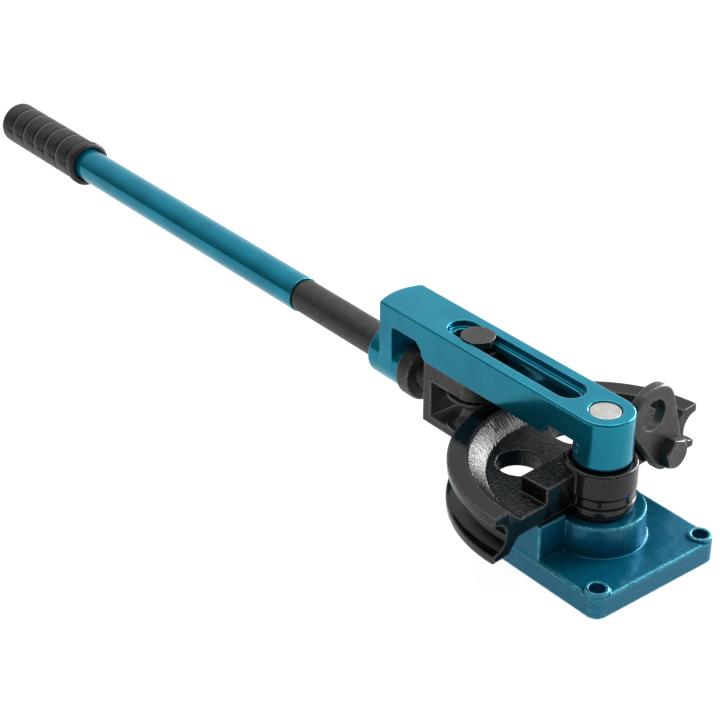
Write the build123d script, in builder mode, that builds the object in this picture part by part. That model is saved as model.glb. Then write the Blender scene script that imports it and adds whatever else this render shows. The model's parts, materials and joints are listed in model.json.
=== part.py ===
from build123d import *
import math
import os

os.makedirs("parts", exist_ok=True)

# Manual tube bender: a cast base with an upright shaft, a half-round bending die and its swinging
# pipe hook, and a slotted lever arm that turns on the shaft and presses a grooved roller against
# the die by means of a long screw handle. Millimetres, +Z up. The origin is on the shaft's axis at
# the base's underside, and the arm points along -X.

# The tube and the die it is bent round
TUBE_HEIGHT = 65.0
BEND_RADIUS = 120.0
GROOVE_RADIUS = 13.5
DIE_RADIUS = 121.0
DIE_TOP = 86.0
DIE_BOTTOM = 45.0
DIE_TURN = 4.9
CUT_DEPTH = -1.8
WEB_TOP = 72.5
WEB_BOTTOM = 57.0

# The base and the shaft
PLATE_X = 67.4
PLATE_Y = 66.6
PLATE_THICKNESS = 19.6
BOLT_X = 57.2
BOLT_Y = 56.8
BOLT_HOLE_RADIUS = 6.5
BOLT_BOSS_RADIUS = 9.8
BOLT_BOSS_TOP = 22.7
BOSS_TOP = 46.0
BLOCK_TOP = 51.0
BLOCK_FRONT = 2.8
BLOCK_REAR = -42.0
BLOCK_INNER = 4.0
SHAFT_RADIUS = 12.5
SHAFT_TOP = 131.0
HUB_RADIUS = 28.8
HUB_TOP = 88.0
HUB_NECK_RADIUS = 27.2
HUB_NECK_BOTTOM = 57.0
HUB_NECK_TOP = 65.0

# The lever arm
ARM_TOP = 132.0
ARM_HALF_WIDTH = 23.8
ARM_BOSS_BOTTOM = 89.4
CHANNEL_HALF_WIDTH = 17.0
CHANNEL_ROOF = 119.8
WALL_BOTTOM = 98.5
SLOT_FRONT = -39.6
SLOT_REAR = -164.6
SLOT_LEDGE = 126.3
LEG_FRONT = -229.0
LEG_REAR = -246.0
HANDLE_HEIGHT = 71.5

# The roller, its bracket and bolt
ROLLER_X = -146.5
ROLLER_RADIUS = 25.0
ROLLER_HALF_HEIGHT = 15.4
BRACKET_HALF_WIDTH = 22.0
BRACKET_REAR = -189.2
BRACKET_WALL = 10.2
BRACKET_BOTTOM = 40.4
BRACKET_TOP = 97.3
BRACKET_NOSE_RADIUS = 23.0
FORK_GAP_BOTTOM = 48.3
FORK_GAP_TOP = 81.7
BOLT_RADIUS = 8.0
BOLT_FLATS = 24.0
ROLLER_BOLT_FLATS = 26.2
GUIDE_LENGTH = 55.0

# The screw, the handle tube and the grip
SCREW_RADIUS = 15.35
NECK_RADIUS = 7.5
NUT_FLANGE_FRONT = -205.4
REAR_BOSS_FRONT = -219.5
REAR_BOSS_END = -261.0
SCREW_SHOULDER = -380.5
TUBE_MOUTH = -382.5
TUBE_OUTER = 16.6
TUBE_INNER = 13.7
TUBE_END = -882.0
GRIP_MOUTH = -746.0
GRIP_END = -891.0

# The rubber grip's finger rings
RING_COUNT = 6
RING_PITCH = 21.5
FIRST_RING = 4.5
RIDGE_RADIUS = 21.6
VALLEY_RADIUS = 20.7
LIP_RADIUS = 22.8

# The pipe hook: a forged eye that swings on a bolt in the die's far end face
HOOK_BOLT_OUT = 72.5
HOOK_BOLT_HEIGHT = 67.0
HOOK_REACH = math.hypot(BEND_RADIUS - HOOK_BOLT_OUT, TUBE_HEIGHT - HOOK_BOLT_HEIGHT)
HOOK_LEAN = 117.8
HOOK_THICKNESS = 9.0
HOOK_EYE_RADIUS = 13.6

# Planes of the turned die: its own X looks out of the cut face, its own Y runs along the cut
turn = math.radians(DIE_TURN)
cut_out = Vector(math.cos(turn), math.sin(turn), 0)
cut_along = Vector(-math.sin(turn), math.cos(turn), 0)
die_profile = Plane(origin=(0, 0, 0), x_dir=-cut_along, z_dir=-cut_out)


def die_plane(height):
    """Level plane at a height, turned with the die."""
    return Plane(origin=(0, 0, height), x_dir=cut_out, z_dir=(0, 0, 1))


def face_plane(depth):
    """Upright plane parallel to the die's cut face; its X runs along the cut, its Y is up."""
    return Plane(origin=cut_out * depth, x_dir=cut_along, z_dir=cut_out)


def handle_plane(x):
    """Plane square to the handle, centred on its axis; it looks towards the die."""
    return Plane(origin=(x, 0, HANDLE_HEIGHT), x_dir=(0, 1, 0), z_dir=(1, 0, 0))


def roller_plane(height):
    """Level plane centred on the roller's bolt."""
    return Plane(origin=(ROLLER_X, 0, height), x_dir=(1, 0, 0), z_dir=(0, 0, 1))


def ring(plane, outer, inner, length):
    """Plain washer, bush or tube that grows from a plane along its normal."""
    with BuildPart() as piece:
        with BuildSketch(plane):
            Circle(outer)
            Circle(inner, mode=Mode.SUBTRACT)
        extrude(amount=length)
    return piece.part


def hex_piece(plane, flats, height, spin=0.0, land=0.47):
    """Hexagon whose outer corners are turned off on its far side, as on a bolt head."""
    corner = flats / 2 / math.cos(math.pi / 6)
    side = Plane(origin=plane.origin, x_dir=plane.x_dir, z_dir=-plane.y_dir)
    with BuildPart() as piece:
        with BuildSketch(side):
            with BuildLine():
                Polyline(
                    (0, 0),
                    (corner, 0),
                    (corner, height - 0.7 * (corner - land * flats)),
                    (land * flats, height),
                    (0, height),
                    close=True,
                )
            make_face()
        revolve(axis=Axis(plane.origin, plane.z_dir))
        with BuildSketch(plane):
            RegularPolygon(flats / 2, 6, major_radius=False, rotation=spin)
        extrude(amount=height, mode=Mode.INTERSECT)
    return piece.part


# ---- Base: one iron casting, a square plate with a round boss and, on one side, a raised block under the die
with BuildPart() as base_plate:
    with BuildSketch():
        RectangleRounded(2 * PLATE_X, 2 * PLATE_Y, BOLT_BOSS_RADIUS)
    extrude(amount=PLATE_THICKNESS)
    fillet(base_plate.faces().sort_by(Axis.Z)[-1].edges(), 1.6)
    with BuildSketch(Plane.XY.offset(2)):
        with Locations(((BLOCK_FRONT + BLOCK_REAR) / 2, (BLOCK_INNER - PLATE_Y) / 2)):
            Rectangle(BLOCK_FRONT - BLOCK_REAR, BLOCK_INNER + PLATE_Y)
    extrude(amount=BLOCK_TOP - 2, taper=2)
    fillet(base_plate.faces().sort_by(Axis.Z)[-1].edges(), 1.2)
    with BuildSketch(Plane.XY.offset(2)):
        Circle(39.9)
    extrude(amount=BOSS_TOP - 2, taper=3.2)
    with BuildSketch(Plane.XY.offset(BOSS_TOP)):
        Circle(37)
    extrude(amount=BLOCK_TOP, mode=Mode.SUBTRACT)
    with BuildSketch(Plane.XY.offset(2)):
        with GridLocations(2 * BOLT_X, 2 * BOLT_Y, 2, 2):
            Circle(BOLT_BOSS_RADIUS)
    extrude(amount=BOLT_BOSS_TOP - 2)
    boss_rims = base_plate.edges().filter_by(GeomType.CIRCLE)
    fillet(boss_rims.filter_by(lambda e: abs(e.center().Z - BOLT_BOSS_TOP) < 0.01), 1.2)
    with BuildSketch():
        with GridLocations(2 * BOLT_X, 2 * BOLT_Y, 2, 2):
            Circle(BOLT_HOLE_RADIUS)
    extrude(amount=30, mode=Mode.SUBTRACT)
    with BuildSketch():
        Circle(SHAFT_RADIUS)
    extrude(amount=60, mode=Mode.SUBTRACT)
    with BuildSketch():
        Circle(19.2)
    extrude(amount=10, mode=Mode.SUBTRACT)
    with BuildSketch(Plane.XY.offset(BOSS_TOP - 10)):
        with Locations((0, -20.5)):
            Circle(4)
    extrude(amount=20, mode=Mode.SUBTRACT)
base_plate.part.label = "base_plate"
export_step(base_plate.part, "parts/base_plate.step")

# ---- Main shaft: ground steel with a foot that is let into the base from below
with BuildPart() as main_shaft:
    with BuildSketch(Plane.XY.offset(2)):
        Circle(19)
    extrude(amount=8)
    with BuildSketch(Plane.XY.offset(10)):
        Circle(SHAFT_RADIUS)
    extrude(amount=SHAFT_TOP - 10)
    chamfer(main_shaft.faces().sort_by(Axis.Z)[-1].edges(), 0.8)
main_shaft.part.label = "main_shaft"
export_step(main_shaft.part, "parts/main_shaft.step")

# ---- Dowel: stops the die turning on the base
with BuildPart() as die_dowel:
    with BuildSketch(Plane.XY.offset(BOSS_TOP - 10)):
        with Locations((0, -20.5)):
            Circle(4)
    extrude(amount=20)
    chamfer(die_dowel.edges(), 0.5)
die_dowel.part.label = "die_dowel"
export_step(die_dowel.part, "parts/die_dowel.step")

# ---- Bending die: half-round grooved rim, web with two large holes, ribs along the cut and a hub
lip = math.sqrt(GROOVE_RADIUS**2 - (DIE_RADIUS - BEND_RADIUS) ** 2)
with BuildPart() as bending_die:
    with BuildSketch(die_profile):
        with BuildLine():
            groove = ThreePointArc(
                (DIE_RADIUS, TUBE_HEIGHT + lip),
                (BEND_RADIUS - GROOVE_RADIUS, TUBE_HEIGHT),
                (DIE_RADIUS, TUBE_HEIGHT - lip),
            )
            Polyline(
                groove @ 1,
                (DIE_RADIUS, DIE_BOTTOM),
                (103, DIE_BOTTOM),
                (92, WEB_BOTTOM),
                (0, WEB_BOTTOM),
                (0, WEB_TOP),
                (90, WEB_TOP),
                (104.5, DIE_TOP),
                (DIE_RADIUS, DIE_TOP),
                groove @ 0,
            )
        make_face()
    revolve(axis=Axis.Z)
    with BuildSketch(die_plane(WEB_BOTTOM)):
        with PolarLocations(65, 2, start_angle=180 - 31, angular_range=124):
            Circle(18.5)
    extrude(amount=WEB_TOP - WEB_BOTTOM, mode=Mode.SUBTRACT)
    with BuildSketch(die_plane(WEB_BOTTOM)) as ribs:
        with Locations((-14.5, 0)):
            Rectangle(29, 124)
        with Locations((-14.5, 45)):
            Rectangle(29, 90)
    extrude(amount=DIE_TOP - WEB_BOTTOM)
    with BuildSketch(face_plane(CUT_DEPTH)):
        with Locations((0, 60)):
            Rectangle(300, 90)
    extrude(amount=140, mode=Mode.SUBTRACT)
    with BuildSketch(die_profile):
        with BuildLine():
            foot = ThreePointArc((25.4, BOSS_TOP), (27.9, BOSS_TOP + 1.4), (HUB_RADIUS, BOSS_TOP + 4.2))
            Polyline(
                foot @ 1,
                (HUB_RADIUS, HUB_NECK_BOTTOM - 0.8),
                (HUB_NECK_RADIUS, HUB_NECK_BOTTOM),
                (HUB_NECK_RADIUS, HUB_NECK_TOP),
                (HUB_RADIUS, HUB_NECK_TOP + 1.4),
                (HUB_RADIUS, HUB_TOP - 1.4),
                (HUB_RADIUS - 1.4, HUB_TOP),
                (0, HUB_TOP),
                (0, BOSS_TOP),
                foot @ 0,
            )
        make_face()
    revolve(axis=Axis.Z)
    with BuildSketch(die_plane(0)):
        Circle(SHAFT_RADIUS + 0.1)
    extrude(amount=120, mode=Mode.SUBTRACT)
    with BuildSketch(Plane.XY):
        with Locations((0, -20.5)):
            Circle(4.1)
    extrude(amount=BOSS_TOP + 10.5, mode=Mode.SUBTRACT)
    with BuildSketch(face_plane(CUT_DEPTH)):
        with Locations((HOOK_BOLT_OUT, HOOK_BOLT_HEIGHT)):
            Circle(BOLT_RADIUS)
    extrude(amount=-26, mode=Mode.SUBTRACT)
bending_die.part.label = "bending_die"
export_step(bending_die.part, "parts/bending_die.step")

# ---- Spacer washer between the hook and the die's end face
hook_axis = cut_along * HOOK_BOLT_OUT + Vector(0, 0, HOOK_BOLT_HEIGHT)
with BuildPart() as hook_washer:
    add(ring(Plane(origin=hook_axis + cut_out * CUT_DEPTH, x_dir=cut_along, z_dir=cut_out), 14, 8.2, 1.7))
hook_washer.part.label = "hook_washer"
export_step(hook_washer.part, "parts/hook_washer.step")

# ---- Hook bolt: hexagon bolt that is the hook's pivot
with BuildPart() as hook_bolt:
    head_plane = Plane(origin=hook_axis + cut_out * 9.1, x_dir=cut_along, z_dir=cut_out)
    add(hex_piece(head_plane, BOLT_FLATS, 10, 42))
    with BuildSketch(Plane(origin=hook_axis + cut_out * 9.1, x_dir=cut_along, z_dir=cut_out)):
        Circle(BOLT_RADIUS)
    extrude(amount=-34)
hook_bolt.part.label = "hook_bolt"
export_step(hook_bolt.part, "parts/hook_bolt.step")

# ---- Pipe hook: teardrop plate, round the eye at one end and round the pivot at the other
lean = math.radians(HOOK_LEAN)
eye = (HOOK_BOLT_OUT + HOOK_REACH * math.cos(lean), HOOK_BOLT_HEIGHT + HOOK_REACH * math.sin(lean))
with BuildPart() as pipe_hook:
    with BuildSketch(face_plane(0)):
        with Locations(eye, (eye[0] + 2, eye[1])):
            Circle(25)
        with Locations((HOOK_BOLT_OUT, HOOK_BOLT_HEIGHT)):
            Circle(17.5)
        make_hull()
    extrude(amount=HOOK_THICKNESS)
    fillet(pipe_hook.edges().group_by(Axis(origin=(0, 0, 0), direction=cut_out))[-1], 2.0)
    fillet(pipe_hook.edges().group_by(Axis(origin=(0, 0, 0), direction=cut_out))[0], 1.0)
    with BuildSketch(face_plane(0)):
        with Locations(eye):
            Circle(HOOK_EYE_RADIUS)
        with Locations((HOOK_BOLT_OUT, HOOK_BOLT_HEIGHT)):
            Circle(BOLT_RADIUS + 0.08)
    extrude(amount=HOOK_THICKNESS, mode=Mode.SUBTRACT)
pipe_hook.part.label = "pipe_hook"
export_step(pipe_hook.part, "parts/pipe_hook.step")

# ---- Thrust washer between the die's hub and the arm
with BuildPart() as arm_washer:
    add(ring(Plane.XY.offset(HUB_TOP), 21, SHAFT_RADIUS + 0.2, ARM_BOSS_BOTTOM - HUB_TOP - 0.1))
arm_washer.part.label = "arm_washer"
export_step(arm_washer.part, "parts/arm_washer.step")

# ---- Lever arm: one casting, an upside-down channel with a slotted top, a round boss on the shaft
# and a rear leg whose boss carries the feed nut
with BuildPart() as lever_arm:
    with BuildSketch(Plane.XZ):
        with BuildLine():
            Polyline(
                (30, ARM_TOP),
                (-260, ARM_TOP),
                (-260, 40),
                (LEG_FRONT, 40),
                (LEG_FRONT, 113),
                (-197.5, 113),
                (-190.5, 106),
                (-190.5, 102.5),
                (-186.5, WALL_BOTTOM),
                (-44.5, WALL_BOTTOM),
                (-38, 108),
                (30, 108),
                close=True,
            )
        make_face()
    extrude(amount=40, both=True)
    corners = lever_arm.edges().filter_by(Axis.Y)
    fillet(corners.filter_by(lambda e: -200 < e.center().X < -180 and e.center().Z < 114), 2.5)
    fillet(corners.filter_by(lambda e: abs(e.center().X - LEG_FRONT) < 1 and e.center().Z > 100), 4)
    with BuildSketch(Plane.XY.offset(40)):
        with BuildLine():
            nose = CenterArc((0, 0), ARM_HALF_WIDTH, -90, 180)
            far_side = Line(nose @ 1, (LEG_REAR + 1.5, ARM_HALF_WIDTH))
            rear = ThreePointArc(far_side @ 1, (-250.5, 0), (LEG_REAR + 1.5, -ARM_HALF_WIDTH))
            Line(rear @ 1, nose @ 0)
        make_face()
    extrude(amount=ARM_TOP - 40, mode=Mode.INTERSECT)
    with BuildSketch(Plane.YZ.offset(-260)):
        with Locations((0, 40)):
            Rectangle(100, 2 * (HANDLE_HEIGHT - 40))
        with Locations((0, HANDLE_HEIGHT)):
            Circle(ARM_HALF_WIDTH, mode=Mode.SUBTRACT)
    extrude(amount=50, mode=Mode.SUBTRACT)
    with BuildSketch(Plane.XY.offset(40)):
        with Locations((-131.5, 0)):
            Rectangle(195, 2 * CHANNEL_HALF_WIDTH)
    extrude(amount=CHANNEL_ROOF - 40, mode=Mode.SUBTRACT)
    fillet(lever_arm.faces().sort_by(Axis.Z)[-1].edges(), 2.2)
    with BuildSketch(Plane.XY.offset(ARM_BOSS_BOTTOM)):
        Circle(ARM_HALF_WIDTH)
    extrude(amount=110 - ARM_BOSS_BOTTOM)
    boss_foot = lever_arm.edges().filter_by(GeomType.CIRCLE)
    fillet(boss_foot.filter_by(lambda e: abs(e.center().Z - ARM_BOSS_BOTTOM) < 0.01), 2.5)
    with BuildSketch(handle_plane(REAR_BOSS_END)):
        Circle(ARM_HALF_WIDTH)
    extrude(amount=REAR_BOSS_FRONT - REAR_BOSS_END)
    fillet(lever_arm.faces().sort_by(Axis.X)[0].edges(), 1.5)
    with BuildSketch(Plane.XY.offset(CHANNEL_ROOF - 5)):
        with Locations(((SLOT_FRONT + SLOT_REAR) / 2, 0)):
            SlotCenterToCenter(SLOT_FRONT - SLOT_REAR, 17)
    extrude(amount=30, mode=Mode.SUBTRACT)
    with BuildSketch(Plane.XY.offset(SLOT_LEDGE)):
        with Locations(((SLOT_FRONT + SLOT_REAR) / 2, 0)):
            SlotCenterToCenter(SLOT_FRONT - SLOT_REAR, 26.4)
    extrude(amount=20, mode=Mode.SUBTRACT)
    with BuildSketch(Plane.XY.offset(80)):
        Circle(15.5)
    extrude(amount=48, mode=Mode.SUBTRACT)
    with BuildSketch(Plane.XY.offset(80)):
        Circle(SHAFT_RADIUS + 0.8)
    extrude(amount=60, mode=Mode.SUBTRACT)
    with BuildSketch(handle_plane(REAR_BOSS_END - 5)):
        Circle(18.5)
    extrude(amount=60, mode=Mode.SUBTRACT)
    with BuildSketch(Plane.XY.offset(40)):
        with Locations((-250, 0)):
            Circle(4)
    extrude(amount=20, mode=Mode.SUBTRACT)
lever_arm.part.label = "lever_arm"
export_step(lever_arm.part, "parts/lever_arm.step")

# ---- Bronze bush pressed into the arm's boss
with BuildPart() as arm_bush:
    add(ring(Plane.XY.offset(ARM_BOSS_BOTTOM + 0.3), 15.5, SHAFT_RADIUS + 0.05, 38))
arm_bush.part.label = "arm_bush"
export_step(arm_bush.part, "parts/arm_bush.step")

# ---- Feed nut: flanged steel nut let into the rear boss from inside, so the roller's push seats it
with BuildPart() as feed_nut:
    with BuildSketch(handle_plane(REAR_BOSS_FRONT)):
        Circle(26.5)
    extrude(amount=NUT_FLANGE_FRONT - REAR_BOSS_FRONT)
    fillet(feed_nut.edges(), 1.6)
    with BuildSketch(handle_plane(REAR_BOSS_END + 1)):
        Circle(18.5)
    extrude(amount=REAR_BOSS_FRONT - REAR_BOSS_END)
    with BuildSketch(handle_plane(REAR_BOSS_END)):
        Circle(SCREW_RADIUS + 0.1)
    extrude(amount=80, mode=Mode.SUBTRACT)
feed_nut.part.label = "feed_nut"
export_step(feed_nut.part, "parts/feed_nut.step")

# ---- Grub screw that locks the feed nut, seen just below the rear boss
with BuildPart() as nut_grub_screw:
    with BuildSketch(Plane.XY.offset(43.5)):
        with Locations((-250, 0)):
            Circle(4)
    extrude(amount=HANDLE_HEIGHT - 18.5 - 43.5 - 0.2)
    with BuildSketch(Plane.XY.offset(43.5)):
        with Locations((-250, 0)):
            RegularPolygon(2, 6, major_radius=False)
    extrude(amount=4, mode=Mode.SUBTRACT)
nut_grub_screw.part.label = "nut_grub_screw"
export_step(nut_grub_screw.part, "parts/nut_grub_screw.step")

# ---- Roller bracket: steel fork open to the die, with a guide block that slides in the channel
with BuildPart() as roller_bracket:
    with BuildSketch(Plane.XZ):
        with BuildLine():
            Polyline(
                (BRACKET_REAR, BRACKET_BOTTOM),
                (-100, BRACKET_BOTTOM),
                (-100, FORK_GAP_BOTTOM),
                (BRACKET_REAR + BRACKET_WALL, FORK_GAP_BOTTOM),
                (BRACKET_REAR + BRACKET_WALL, FORK_GAP_TOP),
                (-100, FORK_GAP_TOP),
                (-100, BRACKET_TOP),
                (BRACKET_REAR, BRACKET_TOP),
                close=True,
            )
        make_face()
    extrude(amount=BRACKET_HALF_WIDTH, both=True)
    with BuildSketch(Plane.XY.offset(BRACKET_BOTTOM)):
        with Locations(((BRACKET_REAR + ROLLER_X) / 2, 0)):
            Rectangle(ROLLER_X - BRACKET_REAR, 2 * BRACKET_HALF_WIDTH)
        with Locations((ROLLER_X, 0)):
            Circle(BRACKET_NOSE_RADIUS)
        with Locations((BRACKET_REAR + 40, 0)):
            Rectangle(80, 2 * BRACKET_HALF_WIDTH, mode=Mode.INTERSECT)
    extrude(amount=BRACKET_TOP - BRACKET_BOTTOM, mode=Mode.INTERSECT)
    with BuildSketch(Plane.XY.offset(BRACKET_TOP)):
        with Locations((BRACKET_REAR + 1 + GUIDE_LENGTH / 2, 0)):
            RectangleRounded(GUIDE_LENGTH, 2 * CHANNEL_HALF_WIDTH - 0.8, 3)
    extrude(amount=CHANNEL_ROOF - BRACKET_TOP - 0.2)
    with BuildSketch(roller_plane(0)):
        Circle(BOLT_RADIUS)
    extrude(amount=200, mode=Mode.SUBTRACT)
    with BuildSketch(handle_plane(BRACKET_REAR)):
        Circle(NECK_RADIUS + 0.08)
    extrude(amount=BRACKET_WALL, mode=Mode.SUBTRACT)
    chamfer(roller_bracket.edges().filter_by(Axis.Z).group_by(Axis.X)[0], 0.8)
roller_bracket.part.label = "roller_bracket"
export_step(roller_bracket.part, "parts/roller_bracket.step")

# ---- Roller bolt: its head lies in the slot's pocket and can't turn there
with BuildPart() as roller_bolt:
    add(hex_piece(roller_plane(SLOT_LEDGE + 0.1), ROLLER_BOLT_FLATS, 6.6, 0, 0.55))
    with BuildSketch(roller_plane(SLOT_LEDGE + 0.1)):
        Circle(BOLT_RADIUS)
    extrude(amount=22 - SLOT_LEDGE)
    chamfer(roller_bolt.faces().sort_by(Axis.Z)[0].edges(), 1)
roller_bolt.part.label = "roller_bolt"
export_step(roller_bolt.part, "parts/roller_bolt.step")

# ---- Nut and washer under the bracket
with BuildPart() as roller_nut_washer:
    add(ring(roller_plane(BRACKET_BOTTOM - 3), 15, BOLT_RADIUS, 3))
roller_nut_washer.part.label = "roller_nut_washer"
export_step(roller_nut_washer.part, "parts/roller_nut_washer.step")

with BuildPart() as roller_nut:
    under = Plane(origin=(ROLLER_X, 0, BRACKET_BOTTOM - 3), x_dir=(1, 0, 0), z_dir=(0, 0, -1))
    add(hex_piece(under, BOLT_FLATS, 13, 8))
    with BuildSketch(under):
        Circle(BOLT_RADIUS)
    extrude(amount=13, mode=Mode.SUBTRACT)
roller_nut.part.label = "roller_nut"
export_step(roller_nut.part, "parts/roller_nut.step")

# ---- Thin steel washers above and below the roller
with BuildPart() as roller_side_washers:
    for height in (FORK_GAP_BOTTOM, FORK_GAP_TOP - 1.2):
        with BuildSketch(roller_plane(height)):
            Circle(15)
            Circle(BOLT_RADIUS, mode=Mode.SUBTRACT)
        extrude(amount=1.2)
roller_side_washers.part.label = "roller_side_washers"
export_step(roller_side_washers.part, "parts/roller_side_washers.step")

# ---- Pressure roller: grooved to the tube, with two thin flanges, and its bronze bush
roller_groove = -ROLLER_X - BEND_RADIUS
roller_lip = math.sqrt(GROOVE_RADIUS**2 - (roller_groove - ROLLER_RADIUS) ** 2)
with BuildPart() as pressure_roller:
    with BuildSketch(Plane(origin=(ROLLER_X, 0, TUBE_HEIGHT), x_dir=(1, 0, 0), z_dir=(0, -1, 0))):
        with BuildLine():
            throat = ThreePointArc(
                (ROLLER_RADIUS, roller_lip),
                (roller_groove - GROOVE_RADIUS, 0),
                (ROLLER_RADIUS, -roller_lip),
            )
            Polyline(
                throat @ 1,
                (ROLLER_RADIUS, -ROLLER_HALF_HEIGHT),
                (11, -ROLLER_HALF_HEIGHT),
                (11, ROLLER_HALF_HEIGHT),
                (ROLLER_RADIUS, ROLLER_HALF_HEIGHT),
                throat @ 0,
            )
        make_face()
    revolve(axis=Axis((ROLLER_X, 0, 0), (0, 0, 1)))
pressure_roller.part.label = "pressure_roller"
export_step(pressure_roller.part, "parts/pressure_roller.step")

with BuildPart() as roller_bush:
    add(ring(roller_plane(TUBE_HEIGHT - ROLLER_HALF_HEIGHT), 11, BOLT_RADIUS + 0.05, 2 * ROLLER_HALF_HEIGHT))
roller_bush.part.label = "roller_bush"
export_step(roller_bush.part, "parts/roller_bush.step")

# ---- Feed screw: thick rod with a turned neck in the bracket and a spigot in the handle tube
with BuildPart() as feed_screw:
    with BuildSketch(handle_plane(SCREW_SHOULDER)):
        Circle(SCREW_RADIUS)
    extrude(amount=BRACKET_REAR - 1.3 - SCREW_SHOULDER)
    chamfer(feed_screw.edges(), 1.2)
    with BuildSketch(handle_plane(SCREW_SHOULDER - 62)):
        Circle(TUBE_INNER)
    extrude(amount=62)
    with BuildSketch(handle_plane(BRACKET_REAR - 1.3)):
        Circle(NECK_RADIUS)
    extrude(amount=15.3)
    with BuildSketch(handle_plane(BRACKET_REAR + BRACKET_WALL + 0.15)):
        Circle(12)
        Circle(NECK_RADIUS - 0.8, mode=Mode.SUBTRACT)
    extrude(amount=1.3, mode=Mode.SUBTRACT)
feed_screw.part.label = "feed_screw"
export_step(feed_screw.part, "parts/feed_screw.step")

# ---- Circlip that keeps the screw's neck in the bracket, and the washer that takes its push
with BuildPart() as neck_circlip:
    with BuildSketch(handle_plane(BRACKET_REAR + BRACKET_WALL + 0.15)):
        Circle(9.8)
        Circle(NECK_RADIUS - 0.8, mode=Mode.SUBTRACT)
        with Locations((0, -9)):
            Rectangle(6, 8, mode=Mode.SUBTRACT)
    extrude(amount=1.3)
neck_circlip.part.label = "neck_circlip"
export_step(neck_circlip.part, "parts/neck_circlip.step")

with BuildPart() as screw_thrust_washer:
    add(ring(handle_plane(BRACKET_REAR - 1.2), 13, NECK_RADIUS + 0.1, 1.2))
screw_thrust_washer.part.label = "screw_thrust_washer"
export_step(screw_thrust_washer.part, "parts/screw_thrust_washer.step")

# ---- Handle tube: long steel tube pushed on the screw's spigot
with BuildPart() as handle_tube:
    with BuildSketch(handle_plane(TUBE_END)):
        Circle(TUBE_OUTER)
        Circle(TUBE_INNER, mode=Mode.SUBTRACT)
    extrude(amount=TUBE_MOUTH - TUBE_END)
    fillet(handle_tube.faces().sort_by(Axis.X)[-1].edges(), 0.6)
handle_tube.part.label = "handle_tube"
export_step(handle_tube.part, "parts/handle_tube.step")

# ---- Plug that closes the tube's end inside the grip
with BuildPart() as tube_end_plug:
    with BuildSketch(handle_plane(TUBE_END)):
        Circle(TUBE_INNER)
    extrude(amount=14)
    with BuildSketch(handle_plane(TUBE_END - 1.5)):
        Circle(TUBE_OUTER)
    extrude(amount=1.5)
tube_end_plug.part.label = "tube_end_plug"
export_step(tube_end_plug.part, "parts/tube_end_plug.step")

# ---- Grip: rubber sleeve with a lipped mouth, finger rings and a domed end
grip_side = Plane(origin=(GRIP_END, 0, HANDLE_HEIGHT), x_dir=(1, 0, 0), z_dir=(0, -1, 0))
with BuildPart() as handle_grip:
    with BuildSketch(grip_side):
        with BuildLine():
            dome = ThreePointArc((0, 0), (2.15, 14), (FIRST_RING, VALLEY_RADIUS - 0.5))
            outline = [dome @ 1]
            for tooth in range(RING_COUNT):
                start = FIRST_RING + tooth * RING_PITCH
                outline += [(start + 0.8, RIDGE_RADIUS), (start + 8, RIDGE_RADIUS - 0.1)]
                outline += [(start + RING_PITCH - 1.5, VALLEY_RADIUS + 0.1), (start + RING_PITCH, VALLEY_RADIUS)]
            mouth = GRIP_MOUTH - GRIP_END
            outline += [(mouth - 11, RIDGE_RADIUS + 0.4), (mouth - 8, LIP_RADIUS), (mouth - 1.5, LIP_RADIUS)]
            outline += [(mouth, LIP_RADIUS - 1.3), (mouth, 18.2), (mouth - 5, TUBE_OUTER)]
            outline += [(TUBE_END - 1.5 - GRIP_END, TUBE_OUTER), (TUBE_END - 1.5 - GRIP_END, 0), (0, 0)]
            Polyline(*outline)
        make_face()
    revolve(axis=Axis((0, 0, HANDLE_HEIGHT), (1, 0, 0)))
handle_grip.part.label = "handle_grip"
export_step(handle_grip.part, "parts/handle_grip.step")
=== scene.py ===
import json
import math

import bmesh
import bpy
import numpy as np
from mathutils import Matrix, Vector


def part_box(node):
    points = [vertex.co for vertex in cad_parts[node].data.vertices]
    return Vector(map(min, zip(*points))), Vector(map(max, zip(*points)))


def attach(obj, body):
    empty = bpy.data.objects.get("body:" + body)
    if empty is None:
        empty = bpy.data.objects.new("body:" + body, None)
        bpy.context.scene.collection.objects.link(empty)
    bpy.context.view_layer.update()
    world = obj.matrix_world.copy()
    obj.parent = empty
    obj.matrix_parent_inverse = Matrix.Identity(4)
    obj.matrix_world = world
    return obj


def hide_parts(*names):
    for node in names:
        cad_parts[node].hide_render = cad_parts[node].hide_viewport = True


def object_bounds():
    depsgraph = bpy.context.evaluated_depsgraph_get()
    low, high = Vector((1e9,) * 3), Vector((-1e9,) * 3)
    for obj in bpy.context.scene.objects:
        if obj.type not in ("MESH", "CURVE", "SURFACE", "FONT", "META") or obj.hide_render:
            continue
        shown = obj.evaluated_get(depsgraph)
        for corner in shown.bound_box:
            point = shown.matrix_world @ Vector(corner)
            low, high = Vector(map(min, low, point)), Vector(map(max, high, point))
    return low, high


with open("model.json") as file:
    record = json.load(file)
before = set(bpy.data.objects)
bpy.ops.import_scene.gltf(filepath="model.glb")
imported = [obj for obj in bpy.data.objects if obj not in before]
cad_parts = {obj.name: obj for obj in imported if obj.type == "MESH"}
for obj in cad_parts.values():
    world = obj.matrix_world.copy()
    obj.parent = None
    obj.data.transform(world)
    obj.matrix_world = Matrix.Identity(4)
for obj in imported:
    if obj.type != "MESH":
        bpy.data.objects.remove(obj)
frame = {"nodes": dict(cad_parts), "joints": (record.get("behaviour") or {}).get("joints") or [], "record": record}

cad_low, cad_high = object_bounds()
scene = bpy.context.scene
joints = {j["name"]: j for j in frame["joints"]}

# ---------------------------------------------------------------------------------------------
# Base. One grey-iron sand casting: a square plate with a round boss for the shaft, a raised block
# under the die and a ringed bolt hole at each corner. It is dipped in teal enamel, painted paler
# along the edges, for thin enamel and a painted highlight, and darker in the corners as painted shade.

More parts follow.
